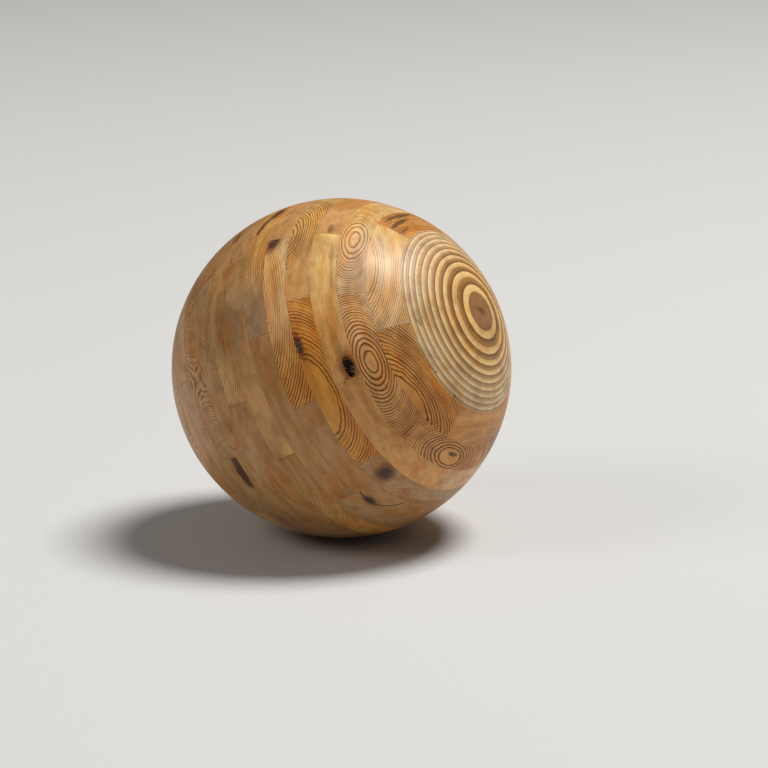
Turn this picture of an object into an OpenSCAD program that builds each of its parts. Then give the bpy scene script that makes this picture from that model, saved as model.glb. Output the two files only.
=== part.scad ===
// Wooden ball, glued up from rings of softwood boards with a plywood cap at each end and turned round.
// Millimetres. The origin is the centre of the ball and +Z is up. The stack leans as the ball lies.

/* [Ball] */
// Diameter of the turned ball
ball_d = 580; // [560:1:620]

/* [Boards] */
// Thickness of a board, which is the height of one course
board_t = 38; // [34:0.5:44]
// Width of a board, from its widest outer edge in to the hollow
board_w = 89; // [85:1:120]
// Turn round the stack that a full board covers
board_arc = 64; // [50:0.5:70]
// Width of the glue line between the ends of two boards
glue_line = 0.2; // [0.1:0.05:0.5]

/* [Plywood caps] */
// Depth of the near cap, from its glued face to the pole
cap_t = 50; // [44:1:60]
// Least depth of the far cap, which takes what the courses leave
far_cap_least = 20; // [16:1:28]
// Thickness of one ply
ply_t = 2.7; // [2:0.1:4]

/* [Open knot] */
// Length of the hole that the lost knot left, along the board
knot_l = 34; // [26:1:40]
// Height of that hole
knot_h = 15; // [10:1:18]
// Depth of that hole
knot_depth = 9; // [5:0.5:14]
// Distance of that hole from the end of its board
knot_edge = 5; // [3:0.5:12]

/* [How the ball lies] */
// Lean of the stack's axis from upright
lean = 64.7; // [0:0.1:90]
// Heading of the leaning axis, from +X towards +Y
heading = -26.1; // [-180:0.1:180]
// Turn of the ball about its own axis
roll = -90.7; // [-180:0.1:180]

/* [Hidden] */
$fn = 180;
ball_r = ball_d / 2;
full_turn = 360;

// Stack: courses are counted from the near cap
course_count = floor((ball_d - cap_t - far_cap_least) / board_t);
far_cap_t = ball_d - cap_t - course_count * board_t;

// Ring: full boards, then a shorter one that closes the ring on the side away from the viewer
full_boards = ceil(full_turn / board_arc) - 1;
closing_arc = full_turn - full_boards * board_arc;
boards_before_joint = 2;

// Longitude of one butt joint in each course, near cap first. Joints are staggered like brickwork.
joint_at = [-9.5, -28, 5, -29, 6.5, -20, -44, -2, -52, 15, -19, 24, -36];

// Course of the open knot, counted from the near cap, and the height of the hole above the course's middle
knot_course = 3;
knot_rise = 8;

pine = [0.80, 0.56, 0.30];
ply_light = [0.87, 0.71, 0.46];
ply_dark = [0.52, 0.34, 0.19];

function ring_name(i) = str("board_ring_", i < 10 ? "0" : "", i);

function course_bottom(i) = ball_r - cap_t - i * board_t;
function course_top(i) = course_bottom(i) + board_t;
function radius_at(z) = sqrt(ball_r * ball_r - z * z);
function widest_radius(i) =
    course_top(i) > 0 && course_bottom(i) < 0
        ? ball_r
        : max(radius_at(course_top(i)), radius_at(course_bottom(i)));
function joint_angle(i) = joint_at[(i - 1) % len(joint_at)];
function board_span(k) = k < full_boards ? board_arc : closing_arc;
function board_middle(i, k) = joint_angle(i) + (k - boards_before_joint) * board_arc + board_span(k) / 2;

// Stands the stack, drawn upright, as the ball lies
module as_it_lies() {
    rotate([0, lean, heading]) rotate(roll) children();
}

// One board with its middle on +X: straight inside, ends on radii half a glue line back, turned outside
module board(i, span) {
    inner = widest_radius(i) - board_w;
    outer = ball_d;
    end_cut = glue_line / 2 / cos(span / 2);
    inner_half = inner * tan(span / 2) - end_cut;
    outer_half = outer * tan(span / 2) - end_cut;
    intersection() {
        sphere(r = ball_r);
        translate([0, 0, course_bottom(i)])
            linear_extrude(board_t)
                polygon([
                    [inner, -inner_half],
                    [outer, -outer_half],
                    [outer, outer_half],
                    [inner, inner_half]
                ]);
    }
}

// Hole of the lost knot, sunk in the end of the board before the joint of its course
module open_knot() {
    middle_z = course_bottom(knot_course) + board_t / 2 + knot_rise;
    surface_r = radius_at(middle_z);
    back_turn = asin((knot_edge + knot_l / 2) / surface_r);
    tilt = asin(middle_z / ball_r);
    straight = knot_l - knot_h;
    rotate(joint_angle(knot_course) - back_turn)
        rotate([0, 90 - tilt, 0])
            translate([0, 0, ball_r - knot_depth])
                linear_extrude(board_t) {
                    square([knot_h, straight], center = true);
                    for (side = [-1, 1])
                        translate([0, side * straight / 2])
                            circle(d = knot_h);
                }
}

// One course of boards, glued end to end
module board_ring(i) {
    color(pine)
        as_it_lies()
            for (k = [0 : full_boards])
                difference() {
                    rotate(board_middle(i, k)) board(i, board_span(k));
                    if (i == knot_course && k == boards_before_joint - 1) open_knot();
                }
}

// Every second ply of a cap of this depth at the top of the upright stack. The ply at the pole takes what is left.
module cap_plies(depth, first) {
    count = round(depth / ply_t);
    for (k = [first : 2 : count - 1])
        intersection() {
            sphere(r = ball_r);
            translate([0, 0, ball_r - depth + k * ply_t])
                cylinder(r = ball_r, h = k < count - 1 ? ply_t : depth);
        }
}

module near_cap_cross_plies() {
    color(ply_dark) as_it_lies() cap_plies(cap_t, 0);
}

module near_cap_long_plies() {
    color(ply_light) as_it_lies() cap_plies(cap_t, 1);
}

module far_cap_long_plies() {
    color(ply_light) as_it_lies() mirror([0, 0, 1]) cap_plies(far_cap_t, 1);
}

module far_cap_cross_plies() {
    color(ply_dark) as_it_lies() mirror([0, 0, 1]) cap_plies(far_cap_t, 0);
}

near_cap_cross_plies();
near_cap_long_plies();
for (i = [1 : course_count])
    board_ring(i);
far_cap_long_plies();
far_cap_cross_plies();
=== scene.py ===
"""Wooden ball: rings of pine boards glued up between two plywood caps, turned round and varnished."""
import math
import random
from collections import namedtuple

import bmesh
import bpy
import numpy as np
from mathutils import Matrix, Vector, noise


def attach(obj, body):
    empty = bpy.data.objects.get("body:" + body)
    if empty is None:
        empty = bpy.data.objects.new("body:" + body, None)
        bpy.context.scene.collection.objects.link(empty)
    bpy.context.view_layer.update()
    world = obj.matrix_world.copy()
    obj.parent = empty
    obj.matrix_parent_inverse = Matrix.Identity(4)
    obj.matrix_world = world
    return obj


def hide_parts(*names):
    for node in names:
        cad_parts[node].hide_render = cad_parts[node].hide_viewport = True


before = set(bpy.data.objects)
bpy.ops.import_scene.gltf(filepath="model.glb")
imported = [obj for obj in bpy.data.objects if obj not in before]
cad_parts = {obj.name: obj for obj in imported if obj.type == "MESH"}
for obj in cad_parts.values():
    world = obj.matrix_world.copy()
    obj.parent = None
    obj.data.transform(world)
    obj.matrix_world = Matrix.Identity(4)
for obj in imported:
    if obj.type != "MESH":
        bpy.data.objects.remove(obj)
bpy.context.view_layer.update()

# Sizes of the ball, in metres and degrees
MM = 0.001
BALL_R = 290 * MM
BOARD_T = 38 * MM
BOARD_W = 89 * MM
BOARD_ARC = 64
FULL_BOARDS = 5
CLOSING_ARC = 360 - FULL_BOARDS * BOARD_ARC
BOARDS_IN_RING = FULL_BOARDS + 1
BOARDS_BEFORE_JOINT = 2
GLUE_LINE = 0.2 * MM
NEAR_CAP_T = 50 * MM
FAR_CAP_T = 36 * MM
PLY_T = 2.7 * MM
NEAR_POLE_PLY_T = 2.1 * MM
FAR_POLE_PLY_T = 3.6 * MM

# Longitude of one butt joint in each course, near cap first
JOINT_AT = (-9.5, -28, 5, -29, 6.5, -20, -44, -2, -52, 15, -19, 24, -36)
COURSES = len(JOINT_AT)

# How the stack lies: its axis leans, heads to the right and is rolled about itself
LEAN = 64.7
HEADING = -26.1
ROLL = -90.7
AS_IT_LIES = (
    Matrix.Rotation(math.radians(HEADING), 4, "Z")
    @ Matrix.Rotation(math.radians(LEAN), 4, "Y")
    @ Matrix.Rotation(math.radians(ROLL), 4, "Z")
)

# Fineness of the turned skin
SKIN_CELL = 2.2 * MM
OUTLINE_POINTS = round(2 * math.pi * BALL_R / SKIN_CELL)
PLY_STEPS = 360
DAMAGE_CUTS = 2
SMOOTH_ANGLE = 25

# Tolerances: for places that are the same, for the edge of a ply and for what counts as skin
NEAR = 1e-6
EDGE_NEAR = 10 * NEAR
SKIN_SLACK = 0.02 * MM

# Distance from the axis that a board is first drawn in to, as a share of that of its straight inside
BLANK_REACH = 0.95

# Glue lines: the width of the strip along an edge of the skin, which of its points lie on that edge,
# and how deep these are sunk
HAIRLINE = 0.3 * MM
HAIRLINE_EDGE = HAIRLINE / 4
HAIRLINE_DEPTH = 0.12 * MM
PLY_HAIRLINE = 0.15 * MM
PLY_HAIRLINE_DEPTH = 0.1 * MM
CROSS_PLY_SINK = 0.12 * MM

# What turning and drying leave on the skin. A scale is in waves to the metre.
BOARD_STEP = 0.12 * MM
SWELL = 0.3 * MM
SWELL_SCALE = 14

# Knots, in half sizes of the knot: the distance that stands for no knot at all, how far round a knot the
# skin is cut finer, where its floor and its rim end, how ragged the rim is, and the share of its depth
# that the floor is pitted by
FAR_OFF = 9.0
KNOT_REACH = 1.6
KNOT_FLOOR = 0.75
KNOT_RIM = 1.05
KNOT_RAG = 0.25
KNOT_RAG_SCALE = 160
KNOT_PIT = 0.35
KNOT_PIT_SCALE = 260

# Chance, with a fixed seed
PICK = random.Random(38)

# Ranges from which boards without a figure of their own draw one, in the units of Figure. The eye is
# counted from the middle of the board's skin.
EYE_ALONG = (-24, 24)
EYE_ACROSS = (-14, 14)
HEART_OUT = (50, 130)
GRAIN_SLOPE = (-2, 2)
FIRST_RING = (0.8, 1.6)
RING_STRENGTH = (0.25, 1.2)
FINE_AFTER = (2, 6)
FINER_BY = (0.2, 1.0)

# Distance between two boards in the coordinates of their trees, so that no two have the same noise
BOARD_APART = 1.7

# Camera, in pixels of the photograph's square frame
IMAGE = 768
FOCAL_PX = 3385
SENSOR = 36
BALL_PX = (341.6, 368.1)
BALL_DISTANCE = 5.7856
CAMERA_TILT = 13

# Studio
KEY_FROM = Vector((0.36, 0.08, 0.92)).normalized()
KEY_DISTANCE = 16
KEY_SIZE = 6
KEY_POWER = 2900
FILL_FROM = Vector((-0.72, -0.35, 0.6)).normalized()
FILL_DISTANCE = 10
FILL_SIZE = 5
FILL_POWER = 190
WORLD_LIGHT = 0.1
FLOOR_SIZE = 60


def to_linear(share):
    """Linear light of a channel, by the sRGB curve."""
    return share / 12.92 if share <= 0.04045 else ((share + 0.055) / 1.055) ** 2.4


def srgb(red, green, blue):
    """Turns a colour as it is seen, 0 to 255, into the linear colour that a shader takes."""
    return tuple(to_linear(channel / 255) for channel in (red, green, blue))


FLOOR_TONE = srgb(206, 205, 202)
FLOOR_ROUGH = 0.9
WORLD_TONE = (0.95, 0.96, 1.0)

# Pine tones: early wood, late wood
TONES = {
    "straw": (srgb(236, 196, 124), srgb(160, 104, 28)),
    # The rose tone is paler: painted light where a board lies beside the highlight
    "rose": (srgb(232, 188, 138), srgb(138, 86, 40)),
    "cream": (srgb(230, 192, 138), srgb(150, 100, 50)),
    "honey": (srgb(224, 166, 98), srgb(116, 60, 6)),
    "gold": (srgb(234, 180, 98), srgb(154, 92, 18)),
    "amber": (srgb(222, 152, 62), srgb(114, 58, 2)),
    "tan": (srgb(212, 162, 102), srgb(142, 92, 34)),
    "russet": (srgb(198, 138, 80), srgb(98, 54, 12)),
    "umber": (srgb(188, 142, 90), srgb(118, 77, 30)),
    "ash": (srgb(188, 147, 100), srgb(132, 92, 46)),
}

# Figure of a board: its tones at the end that comes first round the stack and at the other end, where its
# growth rings touch the skin (longitude, colatitude), how far outside the skin the heart of the tree
# lies (mm), the slope of the grain (degrees), the width of the first growth ring (mm), how strongly its
# late wood is drawn, how many rings at the eye are left plain, after how many they turn finer and by how
# much, what share of the strength is left at the other end, and how much the rings waver
Figure = namedtuple(
    "Figure",
    "tones eye out slope ring strength plain fine finer left wave",
    defaults=(0, 0, 0, 1, 1),
)
FIGURES = {
    (1, 0): Figure(("tan", "amber"), (-98, 49), 15, 0, 2.0, 1.2),
    (1, 1): Figure(("straw", "cream"), (-42, 49), 60, 0, 1.2, 0.9, 5, left=1.4, wave=1.2),
    (1, 2): Figure(("honey", "amber"), (26, 47), 50, 0, 1.7, 1.6, 2.2, wave=1.8),
    (1, 3): Figure(("honey", "amber"), (80, 50), 30, 6, 1.5, 0.6, wave=1.4),
    (2, 1): Figure(("straw", "cream"), (-57.4, 50.6), 67, 0, 1.2, 1.2, 0, 3, 0.6, wave=0.4),
    # This board's first end is pale rose, as painted light beside the highlight
    (2, 2): Figure(("rose", "honey"), (2.2, 51), 95, 0, 0.9, 1.6, 0, 6.3, 0.2, wave=0.6),
    (2, 3): Figure(("honey", "amber"), (64.7, 51.2), 110, 0, 0.85, 1.6, 1.2, wave=0.9),
    (3, 0): Figure(("tan", "tan"), (-90, 72), 50, 0, 1.5, 0.5),
    (3, 1): Figure(("straw", "honey"), (-30, 42), 60, 0, 1.4, 0.3, wave=1.6),
    (3, 2): Figure(("honey", "honey"), (14, 54), 60, 0, 0.8, 0.5, left=0.2, wave=1.8),
    (4, 1): Figure(("straw", "tan"), (-58.5, 73.5), 68, 0, 1.15, 3.6, left=0.05, wave=1.4),
    (4, 2): Figure(("amber", "amber"), (5.4, 73), 92, 0, 1.25, 1.2, 5, wave=1.6),
    (4, 3): Figure(("ash", "ash"), (70, 69.1), 25, 0, 0.8, 1.0, wave=1.2),
    (5, 0): Figure(("tan", "tan"), (-85, 84), 60, 0, 1.4, 0.5),
    (5, 1): Figure(("cream", "amber"), (-33, 90), 60, 0, 1.5, 0.75, left=1.8, wave=1.8),
    (5, 2): Figure(("umber", "umber"), (38, 90), 50, 0, 1.5, 0.45),
    (5, 3): Figure(("umber", "tan"), (102, 70), 60, 0, 1.2, 0.5),
    (6, 1): Figure(("gold", "ash"), (-51, 73), 70, 0, 1.2, 1.9, left=0.4, wave=1.4),
    (6, 2): Figure(("umber", "umber"), (10, 96), 70, 0, 1.1, 0.45),
    (6, 3): Figure(("ash", "ash"), (75, 84), 90, 0, 1.0, 0.5),
    (7, 1): Figure(("umber", "umber"), (-75, 80), 70, 0, 1.3, 0.6),
    (7, 2): Figure(("ash", "tan"), (-12, 78), 50, 0, 1.6, 0.35),
    (7, 3): Figure(("umber", "gold"), (24, 100), 60, 0, 1.2, 1.2, left=0.2, wave=1.8),
    (8, 1): Figure(("umber", "tan"), (-30, 108), 70, 0, 1.4, 0.25, left=3),
    (8, 2): Figure(("umber", "umber"), (30, 110), 60, 0, 1.3, 0.5),
    (9, 1): Figure(("umber", "umber"), (-80, 106), -100, 0, 0.3, 0.4),
    (9, 2): Figure(("ash", "umber"), (-22, 106), -100, 0, 0.3, 0.35),
    (9, 3): Figure(("ash", "ash"), (40, 98), 60, 0, 1.3, 0.5),
    (10, 1): Figure(("tan", "umber"), (-16, 114.6), -120, 0, 0.3, 1.1, wave=2.2),
    (10, 2): Figure(("ash", "ash"), (45, 120), 80, 0, 1.3, 0.5),
    (11, 1): Figure(("tan", "tan"), (-45, 132), 60, 0, 1.3, 0.7),
    (11, 2): Figure(("ash", "umber"), (10, 112), 60, 0, 1.3, 0.5),
    (12, 1): Figure(("tan", "tan"), (-8, 136), 60, 0, 1.3, 0.8),
}

# Knots: course, board, longitude and colatitude, half length and half height (mm), turn (degrees),
# how black the knot is and how deep it is sunk (mm)
Knot = namedtuple("Knot", "course board at half turn black sink")
KNOTS = (
    Knot(3, 1, (0.6, 58.2), (18, 9), 0, 1.0, 9),
    Knot(4, 2, (-12.5, 71.3), (14, 4.5), 4, 0.9, 1.2),
    Knot(4, 3, (44, 67.6), (11, 10), 0, 0.75, 0.5),
    Knot(5, 1, (-55.5, 78), (14, 8), -20, 0.3, 0.5),
    Knot(5, 2, (50.6, 79), (11, 5.5), 0, 0.8, 0.5),
)

# Stains: course, board, place, half length and half height (mm), turn and how dark
Stain = namedtuple("Stain", "course board at half turn dark")
STAINS = (
    Stain(1, 0, (-84, 40.8), (40, 6), 0, 0.85),
    Stain(1, 0, (-92, 43.6), (60, 5), 0, 0.8),
    Stain(1, 0, (-80, 37.4), (20, 3), 0, 0.6),
    Stain(6, 1, (-78, 83.4), (32, 10), -6, 0.95),
    Stain(6, 1, (-70.5, 85.4), (46, 6), -8, 0.85),
    Stain(3, 1, (-10, 59.6), (32, 9), 0, 0.3),
    Stain(3, 1, (-41, 57), (50, 4), 0, 0.3),
    Stain(8, 0, (-70, 97), (24, 10), 0, 0.6),
    Stain(10, 2, (21, 112.4), (44, 14), -6, 0.95),
    Stain(3, 0, (-62, 59.5), (16, 5), 0, 0.5),
    Stain(2, 3, (65.2, 50.1), (14, 4.5), 0, 0.9),
)

# Marks on the near cap, in the same form, with no course and no board
CAP_MARKS = (
    Stain(0, 0, (24, 33), (3, 2), 40, 0.9),
    Stain(0, 0, (45, 33.4), (4, 2.5), 0, 0.8),
    Stain(0, 0, (-8, 30.5), (12, 2.5), 20, 0.5),
    Stain(0, 0, (0, 0), (22, 6), 60, 0.35),
)

# Crack that runs out of a knot: course, board, and the places that it passes
CRACK_IN = (5, 2)
CRACK = ((44.8, 78.5), (47.8, 79.1), (50.8, 79.2), (54.3, 78.8), (57.6, 77.5), (60.6, 75.4), (62.7, 73))
CRACK_MIDDLE = CRACK[len(CRACK) // 2]
CRACK_WIDTH = 1.5 * MM
CRACK_DEPTH = 0.9 * MM


def on_skin(longitude, colatitude):
    """Point of the upright ball's skin."""
    turn = math.radians(longitude)
    fall = math.radians(colatitude)
    flat = math.sin(fall)
    return BALL_R * Vector((flat * math.cos(turn), flat * math.sin(turn), math.cos(fall)))


def skin_axes(longitude, colatitude, slope):
    """Axes at a point of the skin: along the board, up to the near cap and outwards, turned by a slope."""
    outwards = on_skin(longitude, colatitude).normalized()
    turn = math.radians(longitude)
    along = Vector((-math.sin(turn), math.cos(turn), 0))
    along.rotate(Matrix.Rotation(math.radians(slope), 3, outwards))
    return along, along.cross(outwards) * -1, outwards


def seen_from(points, at, slope):
    """Coordinates of points along the axes of a place on the skin, measured from that place."""
    origin = np.array(on_skin(*at))
    axes = np.array(skin_axes(*at, slope))
    return (points - origin) @ axes.T


# Modelling by hand
def cut(place, normal, drop_front=False, drop_back=False, fill=False):
    """Cuts the piece in edit mode with a plane, and drops what lies before or behind it."""
    bpy.ops.mesh.select_all(action="SELECT")
    bpy.ops.mesh.bisect(
        plane_co=place,
        plane_no=normal,
        use_fill=fill,
        clear_outer=drop_front,
        clear_inner=drop_back,
        threshold=NEAR,
    )


def select_points(chosen):
    """Selects the points of the piece in edit mode whose place passes a test."""
    bpy.ops.mesh.select_mode(type="VERT")
    bpy.ops.mesh.select_all(action="DESELECT")
    mesh = bpy.context.object.data
    shape = bmesh.from_edit_mesh(mesh)
    for point in shape.verts:
        point.select = chosen(point.co)
    shape.select_flush_mode()
    bmesh.update_edit_mesh(mesh)


def start_outline(bottom, top, hairline):
    """Starts a piece in edit mode as the ball's outline between two heights, on the +X side."""
    upright = (math.radians(90), 0, 0)
    bpy.ops.object.select_all(action="DESELECT")
    bpy.ops.mesh.primitive_circle_add(vertices=OUTLINE_POINTS, radius=BALL_R, rotation=upright)
    bpy.ops.object.transform_apply(rotation=True)
    bpy.ops.object.mode_set(mode="EDIT")
    if top < BALL_R:
        cut((0, 0, top), (0, 0, 1), drop_front=True)
    cut((0, 0, bottom), (0, 0, 1), drop_back=True)
    cut((0, 0, 0), (1, 0, 0), drop_back=True)
    if top < BALL_R:
        cut((0, 0, top - hairline), (0, 0, 1))
    cut((0, 0, bottom + hairline), (0, 0, 1))


def draw_in(bottom, top, reach):
    """Draws the ends of the outline straight in to a distance from the axis and closes them there."""
    select_points(lambda place: min(abs(place.z - top), abs(place.z - bottom)) < NEAR)
    bpy.ops.mesh.extrude_region_move(TRANSFORM_OT_translate={"value": (-BALL_R, 0, 0)})
    cut((reach, 0, 0), (1, 0, 0), drop_back=True)
    select_points(lambda place: abs(place.x - reach) < NEAR)
    bpy.ops.mesh.edge_face_add()


def finish_shape():
    """Closes a spun shape, turns its faces outwards and leaves edit mode."""
    bpy.ops.mesh.select_all(action="SELECT")
    bpy.ops.mesh.remove_doubles(threshold=NEAR)
    bpy.ops.mesh.normals_make_consistent(inside=False)
    bpy.ops.object.mode_set(mode="OBJECT")
    return bpy.context.object


def course_heights(course):
    """Bottom and top of a course, counted from the near cap, in the upright stack."""
    top = BALL_R - NEAR_CAP_T - (course - 1) * BOARD_T
    return top - BOARD_T, top


def course_fall(course):
    """Colatitudes, in radians, at which a course starts and ends on the skin."""
    bottom, top = course_heights(course)
    return math.acos(top / BALL_R), math.acos(bottom / BALL_R)


def radius_at(height):
    """Radius of the ball's skin at a height of the upright stack."""
    return math.sqrt(max(BALL_R ** 2 - height ** 2, 0))


def widest_radius(course):
    """Widest radius of a course's skin."""
    bottom, top = course_heights(course)
    return BALL_R if bottom < 0 < top else max(radius_at(bottom), radius_at(top))


def turn_board(course, arc):
    """Models a board of a course with its middle on +X: turned outside, straight inside, ends on radii."""
    bottom, top = course_heights(course)
    widest = widest_radius(course)
    inner = widest - BOARD_W
    sweep = math.radians(arc) - GLUE_LINE / widest
    steps = round(sweep * widest / SKIN_CELL)
    start_outline(bottom, top, HAIRLINE)
    draw_in(bottom, top, inner * BLANK_REACH)
    bpy.ops.mesh.select_all(action="SELECT")
    bpy.ops.mesh.edge_face_add()
    bpy.ops.mesh.spin(steps=steps, angle=sweep, center=(0, 0, 0), axis=(0, 0, 1))
    bpy.ops.mesh.select_all(action="SELECT")
    bpy.ops.transform.rotate(value=-sweep / 2, orient_axis="Z", center_override=(0, 0, 0))
    cut((inner, 0, 0), (1, 0, 0), drop_back=True, fill=True)
    for side in (-1, 1):
        end = side * (sweep / 2 - HAIRLINE / widest)
        cut((0, 0, 0), (-math.sin(end), math.cos(end), 0))
    return finish_shape()


def refine(board, chosen):
    """Divides the faces of a board whose middles pass a test, so that the skin can be sunk there."""
    bpy.ops.object.select_all(action="DESELECT")
    board.select_set(True)
    bpy.context.view_layer.objects.active = board
    bpy.ops.object.mode_set(mode="EDIT")
    bpy.ops.mesh.select_mode(type="FACE")
    bpy.ops.mesh.select_all(action="DESELECT")
    shape = bmesh.from_edit_mesh(board.data)
    middles = np.array([face.calc_center_median() for face in shape.faces])
    for face, wanted in zip(shape.faces, chosen(middles)):
        face.select = bool(wanted)
    bmesh.update_edit_mesh(board.data)
    bpy.ops.mesh.subdivide(number_cuts=DAMAGE_CUTS)
    bpy.ops.object.mode_set(mode="OBJECT")


# What the points of a piece carry
def get_points(mesh):
    places = np.empty(len(mesh.vertices) * 3, np.float32)
    mesh.vertices.foreach_get("co", places)
    return places.reshape(-1, 3).astype(float)


def set_points(mesh, points):
    mesh.vertices.foreach_set("co", points.astype(np.float32).ravel())
    mesh.update()


def keep(mesh, name, values):
    """Keeps a number or a triple for each point of a mesh, for its finish to read."""
    triple = np.ndim(values) == 2
    layer = mesh.attributes.new(name, "FLOAT_VECTOR" if triple else "FLOAT", "POINT")
    layer.data.foreach_set("vector" if triple else "value", np.asarray(values, np.float32).ravel())


def soft_step(values, start, end):
    share = np.clip((values - start) / (end - start), 0, 1)
    return share * share * (3 - 2 * share)


def waver(points, scale):
    """Soft noise at each point, about -1 to 1."""
    return np.array([noise.noise(Vector(place) * scale) for place in points])


def knot_coordinates(points, knots):
    """Place of each point in half sizes of its nearest knot or stain, and which of them it is."""
    nearest = np.full((len(points), 2), FAR_OFF)
    which = np.zeros(len(points), int)
    for number, knot in enumerate(knots):
        place = seen_from(points, knot.at, knot.turn)[:, :2] / (np.array(knot.half) * MM)
        closer = np.hypot(*place.T) < np.hypot(*nearest.T)
        nearest[closer] = place[closer]
        which[closer] = number
    return nearest, which


def crack_distance(points):
    """Distance of points from the line of the crack."""
    flat = seen_from(points, CRACK_MIDDLE, 0)[:, :2]
    line = seen_from(np.array([on_skin(*place) for place in CRACK]), CRACK_MIDDLE, 0)[:, :2]
    nearest = np.full(len(points), BALL_R)
    for start, end in zip(line, line[1:]):
        run = end - start
        share = np.clip((flat - start) @ run / (run @ run), 0, 1)
        nearest = np.minimum(nearest, np.linalg.norm(flat - start - share[:, None] * run, axis=1))
    return nearest


def near_damage(places, knots, cracked):
    """For each place, whether it is on the skin and close to a knot or to the crack."""
    turned = np.linalg.norm(places, axis=1) > BALL_R - HAIRLINE
    near = np.hypot(*knot_coordinates(places, knots)[0].T) < KNOT_REACH
    if cracked:
        near |= crack_distance(places) < 2 * CRACK_WIDTH
    return turned & near


def knot_sinks(points, knots, near_knot, knot_number):
    """How deep the knots of a board are sunk at each point, with a ragged rim and a pitted floor."""
    sinks = np.zeros(len(points))
    for number, knot in enumerate(knots):
        inside = np.hypot(*near_knot.T) + KNOT_RAG * waver(points, KNOT_RAG_SCALE)
        pitted = 1 + KNOT_PIT * waver(points, KNOT_PIT_SCALE)
        sunk = knot.sink * MM * (1 - soft_step(inside, KNOT_FLOOR, KNOT_RIM)) * pitted
        sinks += np.where(knot_number == number, sunk, 0)
    return sinks


def pick_figure(middle, fall):
    """Draws a figure for a board round the middle of its skin."""
    return Figure(
        PICK.choices(sorted(TONES), k=2),
        (middle + PICK.uniform(*EYE_ALONG), fall + PICK.uniform(*EYE_ACROSS)),
        PICK.uniform(*HEART_OUT),
        PICK.uniform(*GRAIN_SLOPE),
        PICK.uniform(*FIRST_RING),
        PICK.uniform(*RING_STRENGTH),
        0,
        PICK.uniform(*FINE_AFTER),
        PICK.uniform(*FINER_BY),
    )


def dress_board(board, course, index, layout):
    """Turns a board to its place in the upright stack, wears its skin and keeps what its finish reads."""
    arc = BOARD_ARC if index < FULL_BOARDS else CLOSING_ARC
    middle = JOINT_AT[course - 1] + (index - BOARDS_BEFORE_JOINT) * BOARD_ARC + arc / 2
    first, last = (math.degrees(fall) for fall in course_fall(course))
    knots = [knot for knot in KNOTS if (knot.course, knot.board) == (course, index)]
    stains = [stain for stain in STAINS if (stain.course, stain.board) == (course, index)]
    cracked = (course, index) == CRACK_IN
    board.data.transform(Matrix.Rotation(math.radians(middle), 4, "Z"))
    if knots:
        refine(board, lambda places: near_damage(places, knots, cracked))

    # Place of each point on the board
    mesh = board.data
    points = get_points(mesh)
    reach = np.linalg.norm(points, axis=1)
    skin = reach > BALL_R - SKIN_SLACK
    outwards = points / reach[:, None]
    colatitude = np.degrees(np.arccos(np.clip(outwards[:, 2], -1, 1)))
    longitude = np.degrees(np.arctan2(points[:, 1], points[:, 0]))
    off_middle = (longitude - middle + 180) % 360 - 180
    from_seams = BALL_R * np.radians(np.minimum(colatitude - first, last - colatitude))
    off_ends = np.radians(arc / 2 - np.abs(off_middle))
    from_ends = np.hypot(points[:, 0], points[:, 1]) * off_ends - GLUE_LINE / 2
    edge = np.where(skin, np.maximum(np.minimum(from_seams, from_ends), 0), 0)
    near_knot, knot_number = knot_coordinates(points, knots)
    near_stain, stain_number = knot_coordinates(points, stains)
    crack = crack_distance(points) if cracked else np.full(len(points), BALL_R)
    lay_map(mesh, skin, off_middle, colatitude - first, points, middle, course, index, layout)

    # Skin
    rise = PICK.uniform(-BOARD_STEP, BOARD_STEP) + SWELL * waver(points, SWELL_SCALE)
    rise -= np.where(edge < HAIRLINE_EDGE, HAIRLINE_DEPTH, 0)
    rise -= knot_sinks(points, knots, near_knot, knot_number)
    rise -= CRACK_DEPTH * (1 - soft_step(crack, 0, CRACK_WIDTH))
    moved = points + outwards * np.where(skin, rise, 0)[:, None]

    # Figure
    figure = FIGURES.get((course, index)) or pick_figure(middle, (first + last) / 2)
    wood = seen_from(points, figure.eye, figure.slope)
    wood[:, 2] = figure.out * MM - wood[:, 2]
    wood[:, 0] += (course * BOARDS_IN_RING + index) * BOARD_APART
    share = soft_step(off_middle, -arc / 2, arc / 2)[:, None]
    start, end = (np.array(TONES[tone]) for tone in figure.tones)
    early, late = ((1 - share) * start[part] + share * end[part] for part in (0, 1))
    ring = np.full(len(points), figure.ring * MM)
    strength = figure.strength * (1 + (figure.left - 1) * share[:, 0])
    pith = np.full(len(points), max(figure.out, 0) * MM)
    black = np.array([knot.black for knot in knots] or [0])[knot_number]
    dark = np.array([stain.dark for stain in stains] or [0])[stain_number]
    keep(mesh, "wood", wood)
    keep(mesh, "early", early)
    keep(mesh, "late", late)
    keep(mesh, "figure", np.column_stack((ring, strength, pith)))
    keep(mesh, "wave", np.full(len(points), figure.wave))
    keep(mesh, "years", np.tile((figure.plain, figure.fine, figure.finer), (len(points), 1)))
    keep(mesh, "knot", np.column_stack((np.clip(near_knot, -FAR_OFF, FAR_OFF), black)))
    keep(mesh, "stain", np.column_stack((np.clip(near_stain, -FAR_OFF, FAR_OFF), dark)))
    keep(mesh, "edge", edge)
    keep(mesh, "crack", crack)
    set_points(mesh, moved)


# Bake maps: the skins of a piece lie flat at one scale, and its hidden faces share a strip or the corners.
# The gap is in metres of skin. Other sizes are shares of the map's side or, for a fill, of the room.
MAP_NAME = "OFBake"
MAP_GAP = 4 * MM
MAP_FILL = 0.98
MAP_MIDDLE = 0.5
SKIN_SHARE = 0.77
STRIP_START = SKIN_SHARE + 0.015
STRIP_HEIGHT = 0.2
HIDDEN_SIDES = 5
INSIDE = 2
CELL_FILL = 0.9
DISC_REACH = 0.49
CORNERS = 4
CORNER_NEAR = 0.005
CORNER_FAR = 0.87
CORNER_COLUMNS = 3
CORNER_STEP = 0.042
CORNER_CELL = 0.038

# Cosine above which a face counts as facing a way
FACING = 0.9

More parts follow.
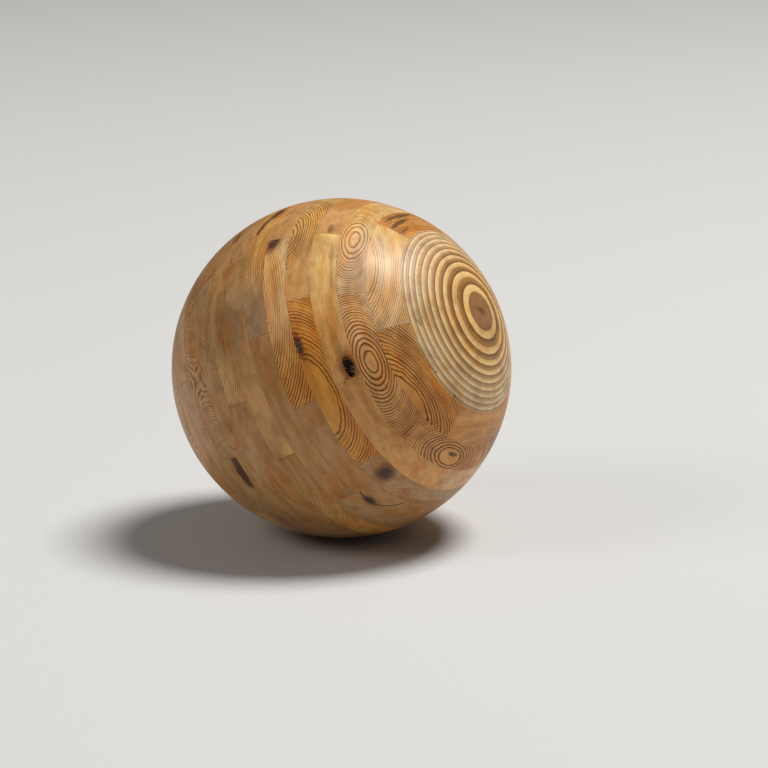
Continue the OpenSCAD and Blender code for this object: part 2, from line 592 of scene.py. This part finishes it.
Layout = namedtuple("Layout", "columns scale length height")


def course_layout(course):
    """Number of columns and scale at which the skins of a course fill the map best."""
    first, last = course_fall(course)
    length = math.radians(BOARD_ARC) * BALL_R * math.sin((first + last) / 2) + MAP_GAP
    height = BALL_R * (last - first) + MAP_GAP
    fits = []
    for columns in (1, 2):
        rows = BOARDS_IN_RING // columns
        scale = min(MAP_FILL / columns / length, SKIN_SHARE / rows / height)
        fits.append(Layout(columns, scale, length, height))
    return max(fits, key=lambda layout: layout.scale)


def faces_of(mesh):
    """For each corner of the mesh: its point, and its face's number and normal."""
    corners = np.empty(len(mesh.loops), np.int32)
    mesh.loops.foreach_get("vertex_index", corners)
    totals = np.empty(len(mesh.polygons), np.int32)
    mesh.polygons.foreach_get("loop_total", totals)
    normals = np.empty(len(mesh.polygons) * 3, np.float32)
    mesh.polygons.foreach_get("normal", normals)
    numbers = np.repeat(np.arange(len(totals)), totals)
    return corners, numbers, normals.reshape(-1, 3)[numbers]


def put_map(mesh, places):
    layer = mesh.uv_layers.get(MAP_NAME) or mesh.uv_layers.new(name=MAP_NAME)
    layer.data.foreach_set("uv", places.astype(np.float32).ravel())


def whole_skin(mesh, skin, corners, numbers):
    """For each corner, whether all points of its face are on the skin."""
    counts = np.bincount(numbers, weights=~skin[corners], minlength=len(mesh.polygons))
    return counts[numbers] == 0


def lay_map(mesh, skin, off_middle, fall, points, middle, course, index, layout):
    """Lays a board's skin in its row and column, and its hidden sides in cells of the strip."""
    corners, numbers, normals = faces_of(mesh)
    on_skin_face = whole_skin(mesh, skin, corners, numbers)
    bottom = course_heights(course)[0]
    middle_r = BALL_R * math.sin(sum(course_fall(course)) / 2)
    column = index % layout.columns
    row = index // layout.columns
    along = middle_r * np.radians(off_middle + BOARD_ARC / 2) + column * layout.length + MAP_GAP / 2
    down = BALL_R * np.radians(fall) + row * layout.height + MAP_GAP / 2
    skin_places = np.column_stack((along, down)) * layout.scale

    # Hidden sides: top, bottom, inside and the two ends, each in a cell of its own
    turn = math.radians(middle)
    ahead = points[:, 0] * math.cos(turn) + points[:, 1] * math.sin(turn)
    aside = points[:, 1] * math.cos(turn) - points[:, 0] * math.sin(turn)
    inwards = normals[:, 0] * math.cos(turn) + normals[:, 1] * math.sin(turn)
    aslant = normals[:, 1] * math.cos(turn) - normals[:, 0] * math.sin(turn)
    facing = [normals[:, 2] > FACING, normals[:, 2] < -FACING, inwards < -FACING, aslant > 0]
    side = np.select(facing, list(range(len(facing))), len(facing))
    deep = ahead[corners] / BALL_R
    wide = aside[corners] / BALL_R / 2 + MAP_MIDDLE
    high = (points[corners, 2] - bottom) / BOARD_T
    across = np.where(side == INSIDE, high, deep)
    upright = np.where(side <= INSIDE, wide, high)
    cell = (index * HIDDEN_SIDES + side) / (BOARDS_IN_RING * HIDDEN_SIDES)
    width = CELL_FILL / (BOARDS_IN_RING * HIDDEN_SIDES)
    hidden_places = np.column_stack((cell + width * across, STRIP_START + STRIP_HEIGHT * upright))
    put_map(mesh, np.where(on_skin_face[:, None], skin_places[corners], hidden_places))


def lay_ply_map(mesh, skin, points, number, cap_t):
    """Lays the skins of plies as rings of one disc, and their hidden faces in cells in the corners."""
    corners, numbers, normals = faces_of(mesh)
    on_skin_face = whole_skin(mesh, skin, corners, numbers)
    fall = np.arccos(np.clip(points[:, 2] / BALL_R, -1, 1)) / math.acos(1 - cap_t / BALL_R)
    turn = np.arctan2(points[:, 1], points[:, 0])
    disc = MAP_MIDDLE + DISC_REACH * fall[:, None] * np.column_stack((np.cos(turn), np.sin(turn)))
    cell = 2 * number + (normals[:, 2] < 0)
    corner = cell % CORNERS
    place = cell // CORNERS
    start_u = np.where(corner % 2, CORNER_FAR, CORNER_NEAR) + CORNER_STEP * (place % CORNER_COLUMNS)
    start_v = np.where(corner // 2, CORNER_FAR, CORNER_NEAR) + CORNER_STEP * (place // CORNER_COLUMNS)
    flat = points[corners, :2] / BALL_R / 2 + MAP_MIDDLE
    hidden = np.column_stack((start_u, start_v)) + CORNER_CELL * flat
    put_map(mesh, np.where(on_skin_face[:, None], disc[corners], hidden))


# Gluing up
def join(pieces, name):
    """Joins pieces into one object with a plain name, lies it down and smooths it."""
    bpy.ops.object.select_all(action="DESELECT")
    for piece in pieces:
        piece.select_set(True)
    bpy.context.view_layer.objects.active = pieces[0]
    bpy.ops.object.join()
    whole = bpy.context.object
    whole.name = name
    whole.data.name = name
    whole.data.transform(AS_IT_LIES)
    bpy.ops.object.shade_smooth_by_angle(angle=math.radians(SMOOTH_ANGLE))
    return whole


def copy_of(piece):
    twin = piece.copy()
    twin.data = piece.data.copy()
    bpy.context.collection.objects.link(twin)
    return twin


def glue_course(course):
    """One ring of boards: the full ones are modelled once and copied, and a shorter one closes the ring."""
    full = turn_board(course, BOARD_ARC)
    copies = [copy_of(full) for _ in range(FULL_BOARDS - 1)]
    boards = [full, *copies, turn_board(course, CLOSING_ARC)]
    layout = course_layout(course)
    for index, board in enumerate(boards):
        dress_board(board, course, index, layout)
    return join(boards, f"pine_course_{course:02d}")


def turn_ply(bottom, top):
    """Models one ply between two heights of the upright stack, as a disc whose edge is turned."""
    start_outline(bottom, top, PLY_HAIRLINE)
    draw_in(bottom, top, 0)
    bpy.ops.mesh.select_all(action="SELECT")
    bpy.ops.mesh.spin(steps=PLY_STEPS, angle=2 * math.pi, center=(0, 0, 0), axis=(0, 0, 1))
    return finish_shape()


def press_plies(cap_t, pole_t, first, sink, marks):
    """Every second ply of a cap on top of the upright stack, with worn skins and what the finish reads."""
    count = round(cap_t / PLY_T)
    heights = [BALL_R - cap_t + layer * PLY_T for layer in range(count - 1)] + [BALL_R - pole_t, BALL_R]
    plies = []
    for layer in range(first, count, 2):
        bottom, top = heights[layer:layer + 2]
        ply = turn_ply(bottom, top)
        mesh = ply.data
        points = get_points(mesh)
        reach = np.linalg.norm(points, axis=1)
        skin = reach > BALL_R - SKIN_SLACK
        lay_ply_map(mesh, skin, points, len(plies), cap_t)
        edge = np.minimum(np.abs(points[:, 2] - bottom), np.abs(points[:, 2] - top))
        rise = -sink - np.where(edge < EDGE_NEAR, PLY_HAIRLINE_DEPTH, 0)
        rise = rise + SWELL * waver(points, SWELL_SCALE)
        near_mark, mark_number = knot_coordinates(points, marks)
        dark = np.array([mark.dark for mark in marks] or [0])[mark_number]
        keep(mesh, "sheet", points)
        keep(mesh, "edge", edge)
        keep(mesh, "layer", count - (points[:, 2] - BALL_R + cap_t) / PLY_T)
        keep(mesh, "stain", np.column_stack((np.clip(near_mark, -FAR_OFF, FAR_OFF), dark)))
        set_points(mesh, points + points / reach[:, None] * np.where(skin, rise, 0)[:, None])
        plies.append(ply)
    return plies


def press_cap(cap_t, pole_t, first, sink, name, marks, upside_down):
    """Every second ply of a cap, at the near end or upside down at the far end."""
    plies = press_plies(cap_t, pole_t, first, sink, marks)
    if upside_down:
        for ply in plies:
            ply.data.transform(Matrix.Rotation(math.pi, 4, "X"))
    return join(plies, name)


# Sockets of the node that mixes two colours
MIX_SHARE = 0
MIX_LOW = 6
MIX_HIGH = 7
MIX_RESULT = 2

# Noise: its waves to the metre along each axis, and its detail
Noise = namedtuple("Noise", "scales detail", defaults=(2.0,))
NOISE_ROUGHNESS = 0.55
NOISE_MIDDLE = 0.5


# Finishes
class Value:
    """An output of a finish's node. Arithmetic on it adds Math nodes."""

    def __init__(self, finish, socket):
        self.finish = finish
        self.socket = socket

    def beside(self, output):
        """Another output of the same node."""
        return Value(self.finish, self.socket.node.outputs[output])

    def math(self, operation, *values):
        return self.finish.node("ShaderNodeMath", {"operation": operation}, dict(enumerate(values)))

    def __add__(self, other):
        return self.math("ADD", self, other)

    def __radd__(self, other):
        return self.math("ADD", other, self)

    def __sub__(self, other):
        return self.math("SUBTRACT", self, other)

    def __rsub__(self, other):
        return self.math("SUBTRACT", other, self)

    def __mul__(self, other):
        return self.math("MULTIPLY", self, other)

    def __rmul__(self, other):
        return self.math("MULTIPLY", other, self)

    def __truediv__(self, other):
        return self.math("DIVIDE", self, other)

    def __rtruediv__(self, other):
        return self.math("DIVIDE", other, self)

    def __pow__(self, other):
        return self.math("POWER", self, other)

    def at_least(self, other):
        return self.math("MAXIMUM", self, other)


class Finish:
    """A material that is drawn with nodes."""

    def __init__(self, name):
        self.material = bpy.data.materials.new(name)
        self.material.use_nodes = True
        self.tree = self.material.node_tree
        self.surface = self.tree.nodes["Principled BSDF"]

    def node(self, kind, settings=None, sockets=None, output=0):
        """Adds a node: its settings first, then the values or links of its sockets."""
        made = self.tree.nodes.new(kind)
        for name, setting in (settings or {}).items():
            if name == "stops":
                self.set_stops(made.color_ramp, setting)
            else:
                setattr(made, name, setting)
        for name, value in (sockets or {}).items():
            self.put(made.inputs[name], value)
        return Value(self, made.outputs[output])

    def put(self, socket, value):
        if isinstance(value, Value):
            self.tree.links.new(value.socket, socket)
        else:
            socket.default_value = value

    def set_stops(self, ramp, stops):
        while len(ramp.elements) < len(stops):
            ramp.elements.new(1)
        for element, (place, level) in zip(ramp.elements, stops):
            element.position = place
            element.color = (level, level, level, 1)

    def show(self, **values):
        """Sets or links sockets of the surface."""
        for name, value in values.items():
            self.put(self.surface.inputs[name.replace("_", " ")], value)

    def triple(self, name):
        """Three numbers that the points of the piece carry."""
        return self.node("ShaderNodeAttribute", {"attribute_name": name}, output="Vector")

    def number(self, name):
        """One number that the points of the piece carry."""
        return self.node("ShaderNodeAttribute", {"attribute_name": name}, output="Fac")

    def split(self, vector):
        first = self.node("ShaderNodeSeparateXYZ", None, {0: vector})
        return first, first.beside(1), first.beside(2)

    def stretch(self, vector, scales):
        return self.node("ShaderNodeVectorMath", {"operation": "MULTIPLY"}, {0: vector, 1: scales})

    def cloud(self, vector, kind):
        """Noise from 0 to 1, with its own scale along each axis."""
        return self.node("ShaderNodeTexNoise", None, {
            "Vector": self.stretch(vector, kind.scales),
            "Scale": 1.0,
            "Detail": kind.detail,
            "Roughness": NOISE_ROUGHNESS,
        })

    def swing(self, vector, kind):
        """The same noise, to either side of 0."""
        return self.cloud(vector, kind) - NOISE_MIDDLE

    def line_noise(self, value, detail):
        """Noise from 0 to 1 that changes along one number."""
        sockets = {"W": value, "Scale": 1.0, "Detail": detail}
        return self.node("ShaderNodeTexNoise", {"noise_dimensions": "1D"}, sockets)

    def smooth(self, value, start, end):
        """A soft step from 0 at the start to 1 at the end."""
        return self.node("ShaderNodeMapRange", {"interpolation_type": "SMOOTHSTEP"}, {
            "Value": value, "From Min": start, "From Max": end
        })

    def blend(self, share, low, high, way="MIX"):
        """Mixes two colours."""
        settings = {"data_type": "RGBA", "blend_type": way, "clamp_factor": True}
        sockets = {MIX_SHARE: share, MIX_LOW: colour(low), MIX_HIGH: colour(high)}
        return self.node("ShaderNodeMix", settings, sockets, output=MIX_RESULT)

    def tint(self, share, tone, dye):
        """Multiplies a share of a tone by a colour."""
        return self.blend(share, tone, self.blend(1.0, tone, dye, "MULTIPLY"))

    def shows(self, vector, layer):
        """How strongly a layer shows."""
        return self.smooth(self.cloud(vector, layer.noise), layer.start, layer.whole) * layer.share

    def glaze(self, tone, vector, layer):
        """Multiplies a tone by a layer's colour where the layer shows."""
        return self.tint(self.shows(vector, layer), tone, layer.colour)

    def spot(self, tone, vector, layer):
        """Covers a tone with a layer's colour where the layer shows."""
        return self.blend(self.shows(vector, layer), tone, layer.colour)

    def nearest(self, name):
        """Distance from the nearest knot or stain, in half sizes of it, and how dark it is."""
        along, across, dark = self.split(self.triple(name))
        return (along * along + across * across) ** 0.5, dark

    def soak(self, tone, vector, kind, rim):
        """Darkens a tone in the nearest stain, whose rim wanders with noise."""
        distance, dark = self.nearest("stain")
        wandering = distance + self.swing(vector, kind)
        return self.blend(self.smooth(wandering, rim, STAIN_HEART) * dark, tone, STAIN_DARK)

    def bump(self, height, strength):
        """Normal of a surface with fine relief."""
        sockets = {"Strength": strength, "Distance": BUMP_DEPTH, "Height": height}
        return self.node("ShaderNodeBump", None, sockets)


def colour(value):
    return value if isinstance(value, Value) else (*value, 1)


# Tones of what lies in or on the wood
KNOT_BROWN = srgb(92, 56, 34)
KNOT_BLACK = srgb(40, 28, 22)
# Pale chips: real splinters in the open knot, and a faint painted glint on the other knots
KNOT_CHIP_AND_GLINT = srgb(140, 112, 84)
KNOT_HALO = srgb(140, 98, 66)
GLUE_DARK = srgb(78, 44, 20)
STAIN_DARK = srgb(74, 44, 24)
PATINA = srgb(152, 132, 100)

# Layer of tone: its noise, the levels at which it starts to show and is whole, how strong it is then,
# and its colour
Layer = namedtuple("Layer", "noise start whole share colour")
WARMTH = Layer(Noise((7, 40, 40), 3.0), 0.42, 0.68, 0.75, srgb(255, 222, 158))
MOTTLE = Layer(Noise((30, 70, 70), 3.0), 0.4, 0.66, 0.6, srgb(222, 206, 184))
FLECKS = Layer(Noise((150, 900, 900), 1.0), 0.69, 0.76, 0.3, GLUE_DARK)
DENTS = Layer(Noise((170, 170, 170), 1.0), 0.72, 0.77, 0.45, STAIN_DARK)
SPECKS = Layer(Noise((330, 330, 330), 1.0), 0.76, 0.80, 0.5, srgb(240, 220, 184))
# Chips in the knots, which on the knots that are not open are a faint painted glint
CHIPS_AND_GLINT = Layer(Noise((420, 90, 90), 1.0), 0.52, 0.62, 0.75, KNOT_CHIP_AND_GLINT)

# How growth rings wander: the noise, and how far, as a share of the first ring and a length on top of it
Wander = namedtuple("Wander", "noise share least")
WANDERING = (
    Wander(Noise((7, 18, 18), 1.0), 1.0, 0.8 * MM),
    Wander(Noise((80, 90, 90), 1.0), 0.65, 0.3 * MM),
)

# How far the rings bulge at a knot, and how fast that falls with the distance from it
BULGE = 4 * MM
BULGE_FALL = 0.8

# Growth: years rise with a power of the rings' number and with a share of it, at a pace that changes
GROWTH_POWER = 0.75
GROWTH_SHARE = 0.12
PACE = 0.9
PACE_SCALE = 0.27
PACE_DETAIL = 1.0

# Darkness of the wood through one year, from spring to spring
LATE_WOOD = ((0, 0.25), (0.06, 0.0), (0.42, 0.04), (0.66, 0.4), (0.80, 1.0), (0.92, 1.0), (1, 0.25))

# How dark one year's late wood is: at the least, and by chance for that year and for its group of years.
# The plain rings at the eye end with the last step.
LATE_LEAST = 0.4
LATE_BY_YEAR = 0.3
LATE_BY_GROUP = 0.5
GROUP_SCALE = 0.31
GROUP_DETAIL = 0.0
GROUP_STEP = (0.35, 0.6)
PLAIN_STEP = (-0.3, 0.5)

# Where the late wood fades along the grain
FADE = Noise((8, 22, 22), 1.0)
FADE_STEP = (0.30, 0.55)
FADE_LEAST = 0.6
FADE_SHARE = 0.4

# Fibres and streaks
FIBRE = Noise((35, 1300, 1300))
FIBRE_SHARE = 0.3
STREAK = Noise((9, 260, 260), 1.0)
STREAK_SHARE = 0.35

# Patina that spreads over the boards
HAZE = Noise((8, 8, 8), 4.0)
HAZE_SHARE = 0.6
GRAIN_HAZE = Noise((5, 40, 40), 4.0)
GRAIN_HAZE_SHARE = 0.4
SMOKE_STEP = (0.46, 0.68)
SMOKE_SHARE = 0.5

# Knots and stains, in half sizes, and the crack
KNOT_NOISE = Noise((140, 180, 180))
KNOT_WANDER = 0.6
HALO_STEP = (2.4, 0.9)
HALO_SHARE = 0.8
# Chips fill the open, black knot; their least share, on the other knots, paints a glint on their gloss
CHIP_AND_GLINT_STEP = (0.1, 0.4)
BLACK_STEP = (0.8, 1.0)
GLINT_LEAST = 0.3
CHIP_BLACK = 0.7
STAIN_NOISE = Noise((40, 110, 110))
STAIN_RIM = 1.15
STAIN_HEART = 0.5
CRACK_STEP = (1.8 * MM, 0.6 * MM)
CRACK_SHARE = 0.9

# Glue lines, which show more where they are worn
SEAM_STEP = (0.7 * MM, 0.2 * MM)
SEAM_LEAST = 0.04
SEAM_WORN = 0.26
WEAR = Noise((30, 30, 30), 1.0)
WEAR_STEP = (0.35, 0.65)

# Varnish on the pine
PINE_ROUGH = 0.4
LATE_ROUGH = 0.06
FIBRE_ROUGH = 0.1
SMOKE_ROUGH = 0.06
PINE_SPECULAR = 0.35
BUMP_DEPTH = 0.2 * MM
PINE_BUMP = 0.35
FIBRE_HEIGHT = 0.5
LATE_HEIGHT = 0.4


def late_wood(pine, wood, from_knot):
    """How dark the late wood of a board is drawn, year by year."""
    ring, strength, pith = pine.split(pine.triple("figure"))
    plain, fine, finer = pine.split(pine.triple("years"))

    # Age of the tree, in years from the eye of the figure
    across, deep = pine.split(wood)[1:]
    bulge = BULGE / (1 + from_knot * from_knot * BULGE_FALL)
    drift, ripple = (pine.swing(wood, way.noise) * (ring * way.share + way.least) for way in WANDERING)
    radius = (across * across + deep * deep) ** 0.5 + (drift + ripple) * pine.number("wave") + bulge
    rings = ((radius - pith) / ring).at_least(0)
    years = rings ** GROWTH_POWER + rings * GROWTH_SHARE
    years = years + (years - fine).at_least(0) * finer
    years = years + (pine.line_noise(years * PACE_SCALE, PACE_DETAIL) - NOISE_MIDDLE) * PACE

    # Late wood of each year
    year = years.math("FLOOR", years)
    late = pine.node("ShaderNodeValToRGB", {"stops": LATE_WOOD}, {0: years - year})
    chance = pine.node("ShaderNodeTexWhiteNoise", {"noise_dimensions": "1D"}, {"W": year})
    group = pine.smooth(pine.line_noise(year * GROUP_SCALE, GROUP_DETAIL), *GROUP_STEP)
    fade = pine.smooth(pine.cloud(wood, FADE), *FADE_STEP)
    late = late * (LATE_LEAST + LATE_BY_YEAR * chance + LATE_BY_GROUP * group)
    late = late * strength * (FADE_LEAST + FADE_SHARE * fade)
    return late * pine.smooth(years - plain, *PLAIN_STEP)


def pine_finish():
    """Varnished pine with the figure, knots and stains that a board carries."""
    pine = Finish("turned_pine")
    wood = pine.triple("wood")
    place = pine.node("ShaderNodeTexCoord", output="Object")
    from_knot, black = pine.nearest("knot")

    # Growth rings and fibres
    late = late_wood(pine, wood, from_knot)
    fibre = pine.cloud(wood, FIBRE)
    drawn = late + (fibre - NOISE_MIDDLE) * FIBRE_SHARE + pine.swing(wood, STREAK) * STREAK_SHARE
    tone = pine.blend(drawn, pine.triple("early"), pine.triple("late"))

    # What varies along and across the boards
    tone = pine.glaze(tone, wood, WARMTH)
    tone = pine.glaze(tone, wood, MOTTLE)
    tone = pine.spot(tone, wood, FLECKS)
    tone = pine.spot(tone, place, DENTS)
    tone = pine.spot(tone, place, SPECKS)
    haze = pine.cloud(place, HAZE) * HAZE_SHARE + pine.cloud(wood, GRAIN_HAZE) * GRAIN_HAZE_SHARE
    smoke = pine.smooth(haze, *SMOKE_STEP)
    tone = pine.tint(smoke * SMOKE_SHARE, tone, PATINA)

    # Knots, stains and the crack
    # Pale chips: splinters in the open knot, and a faint painted glint on the other knots
    ragged = from_knot + pine.swing(wood, KNOT_NOISE) * KNOT_WANDER
    chips_and_glint = pine.shows(wood, CHIPS_AND_GLINT) * pine.smooth(ragged, *CHIP_AND_GLINT_STEP)
    chips_and_glint = chips_and_glint * (GLINT_LEAST + CHIP_BLACK * pine.smooth(black, *BLACK_STEP))
    knot_tone = pine.blend(black, KNOT_BROWN, KNOT_BLACK)
    knot_tone = pine.blend(chips_and_glint, knot_tone, CHIPS_AND_GLINT.colour)
    tone = pine.tint(pine.smooth(ragged, *HALO_STEP) * HALO_SHARE, tone, KNOT_HALO)
    tone = pine.blend(pine.smooth(ragged, KNOT_RIM, KNOT_FLOOR), tone, knot_tone)
    tone = pine.soak(tone, wood, STAIN_NOISE, STAIN_RIM)
    tone = pine.blend(pine.smooth(pine.number("crack"), *CRACK_STEP) * CRACK_SHARE, tone, KNOT_BLACK)

    # Glue lines
    worn = pine.smooth(pine.cloud(place, WEAR), *WEAR_STEP)
    seam = pine.smooth(pine.number("edge"), *SEAM_STEP)
    tone = pine.blend(seam * (SEAM_LEAST + SEAM_WORN * worn), tone, GLUE_DARK)

    rough = PINE_ROUGH + LATE_ROUGH * late + (fibre - NOISE_MIDDLE) * FIBRE_ROUGH + SMOKE_ROUGH * smoke
    height = fibre * FIBRE_HEIGHT - late * LATE_HEIGHT
    normal = pine.bump(height, PINE_BUMP)
    pine.show(Base_Color=tone, Roughness=rough, Normal=normal, Specular_IOR_Level=PINE_SPECULAR)
    return pine.material


# Tones of a ply at the pole and at the rim of the cap, each where its edge is cut nearest the rim and
# nearest the pole, and how strongly the disc at the pole shows. The tone nearest the rim is lighter, as
# painted light, and the tone nearest the pole darker, as painted shade, for the two sides of the ply's
# raised edge
PlyTone = namedtuple("PlyTone", "pole_low pole_high rim_low rim_high disc")
LONG_TONE = PlyTone(
    pole_low=srgb(240, 202, 136),
    pole_high=srgb(222, 180, 112),
    rim_low=srgb(240, 212, 166),
    rim_high=srgb(216, 182, 136),
    disc=0.0,
)
CROSS_TONE = PlyTone(
    pole_low=srgb(172, 126, 72),
    pole_high=srgb(134, 92, 46),
    rim_low=srgb(202, 168, 122),
    rim_high=srgb(172, 136, 92),
    disc=0.85,
)
POLE_DISC = srgb(152, 112, 74)
LONG_GRAIN = Noise((60, 700, 700))
CROSS_GRAIN = Noise((700, 60, 700))

# Layers and pores of the veneers
PLY_PATINA = Layer(Noise((24, 24, 40), 4.0), 0.45, 0.7, 0.4, PATINA)
PLY_HUE = Noise((40, 26, 26))
PLY_ROSE = Layer(PLY_HUE, 0.5, 0.7, 0.6, srgb(255, 224, 204))
PLY_HONEY = Layer(PLY_HUE, 0.5, 0.3, 0.7, srgb(250, 226, 170))
PORES = srgb(206, 180, 144)
PORE_START = 0.4
PORE_SHARE = 1.2

# Where the tone of a ply changes: within its edge, from painted light at its rim side to painted shade at
# its pole side, and with the number of plies from the pole
PLY_WANDER = Noise((25, 25, 25), 1.0)
PLY_WANDER_SHARE = 0.12
PLY_SHADE_STEP = (0.8, 0.05)
RIM_STEP = (4, 15)
DISC_STEP = (1.4, 1.3)

# Glue lines, marks and varnish of the veneers
PLY_SEAM_STEP = (0.14 * MM, 0.04 * MM)
PLY_SEAM_SHARE = 0.4
MARK_NOISE = Noise((180, 180, 180))
MARK_RIM = 1.1
PLY_BUMP = 0.25
PLY_ROUGH = 0.42
PLY_FIBRE_ROUGH = 0.15
PLY_SPECULAR = 0.4


def ply_finish(name, tones, grain):
    """Varnished veneer, cut across its thickness by the turning."""
    ply = Finish(name)
    sheet = ply.triple("sheet")
    layer = ply.number("layer")
    part = layer - layer.math("FLOOR", layer)
    # Painted light and shade across each ply: lighter at its rim side, darker towards the pole
    rise = ply.smooth(part + ply.swing(sheet, PLY_WANDER) * PLY_WANDER_SHARE, *PLY_SHADE_STEP)
    tone = ply.blend(rise, tones.pole_low, tones.pole_high)
    tone = ply.blend(ply.smooth(layer, *RIM_STEP), tone, ply.blend(rise, tones.rim_low, tones.rim_high))
    tone = ply.blend(ply.smooth(layer, *DISC_STEP) * tones.disc, tone, POLE_DISC)
    tone = ply.glaze(tone, sheet, PLY_PATINA)
    tone = ply.glaze(tone, sheet, PLY_ROSE)
    tone = ply.glaze(tone, sheet, PLY_HONEY)
    tone = ply.blend(ply.smooth(ply.number("edge"), *PLY_SEAM_STEP) * PLY_SEAM_SHARE, tone, GLUE_DARK)
    fibre = ply.cloud(sheet, grain)
    tone = ply.tint((fibre - PORE_START) * PORE_SHARE, tone, PORES)
    tone = ply.soak(tone, sheet, MARK_NOISE, MARK_RIM)
    rough = PLY_ROUGH + (fibre - NOISE_MIDDLE) * PLY_FIBRE_ROUGH
    normal = ply.bump(fibre, PLY_BUMP)
    ply.show(Base_Color=tone, Roughness=rough, Normal=normal, Specular_IOR_Level=PLY_SPECULAR)
    return ply.material


# Pieces
pine = pine_finish()
for course in range(1, COURSES + 1):
    ring = glue_course(course)
    ring.data.materials.clear()
    ring.data.materials.append(pine)
    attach(ring, "root")
    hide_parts(f"board_ring_{course:02d}")

long_ply = ply_finish("long_grain_veneer", LONG_TONE, LONG_GRAIN)
cross_ply = ply_finish("cross_grain_veneer", CROSS_TONE, CROSS_GRAIN)
caps = (
    ("near_cap", NEAR_CAP_T, NEAR_POLE_PLY_T, CAP_MARKS, False),
    ("far_cap", FAR_CAP_T, FAR_POLE_PLY_T, (), True),
)
kinds = (("cross", 0, CROSS_PLY_SINK, cross_ply), ("long", 1, 0, long_ply))
for cap, cap_t, pole_t, marks, upside_down in caps:
    for kind, first, sink, finish in kinds:
        plies = press_cap(cap_t, pole_t, first, sink, f"{cap}_{kind}_grain_veneers", marks, upside_down)
        plies.data.materials.clear()
        plies.data.materials.append(finish)
        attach(plies, "root")
        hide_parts(f"{cap}_{kind}_plies")


# Studio
def lamp(name, direction, distance, size, power):
    """A round lamp that shines at the ball from a direction."""
    light = bpy.data.lights.new(name, "AREA")
    light.shape = "DISK"
    light.size = size
    light.energy = power
    stand = bpy.data.objects.new(name, light)
    stand.location = direction * distance
    stand.rotation_euler = direction.to_track_quat("Z", "Y").to_euler()
    bpy.context.collection.objects.link(stand)


lamp("key", KEY_FROM, KEY_DISTANCE, KEY_SIZE, KEY_POWER)
lamp("fill", FILL_FROM, FILL_DISTANCE, FILL_SIZE, FILL_POWER)

bpy.ops.object.select_all(action="DESELECT")
bpy.ops.mesh.primitive_plane_add(size=FLOOR_SIZE, location=(0, 0, -BALL_R))
bpy.ops.object.transform_apply(location=True)
floor = bpy.context.object
floor.name = "floor"
floor_finish = Finish("pale_floor")
floor_finish.show(Base_Color=(*FLOOR_TONE, 1), Roughness=FLOOR_ROUGH)
floor.data.materials.append(floor_finish.material)

world = bpy.data.worlds.new("studio")
world.use_nodes = True
sky = world.node_tree.nodes["Background"]
sky.inputs["Color"].default_value = (*WORLD_TONE, 1)
sky.inputs["Strength"].default_value = WORLD_LIGHT
bpy.context.scene.world = world

camera = bpy.data.objects.new("camera", bpy.data.cameras.new("camera"))
camera.data.sensor_width = SENSOR
camera.data.lens = FOCAL_PX / IMAGE * SENSOR
tilt = Matrix.Rotation(math.radians(90 - CAMERA_TILT), 3, "X")
to_ball = Vector((BALL_PX[0] - IMAGE / 2, IMAGE / 2 - BALL_PX[1], -FOCAL_PX)).normalized()
camera.location = -BALL_DISTANCE * (tilt @ to_ball)
camera.rotation_euler = tilt.to_euler()
bpy.context.collection.objects.link(camera)
bpy.context.scene.camera = camera
bpy.context.scene.view_settings.view_transform = "Standard"
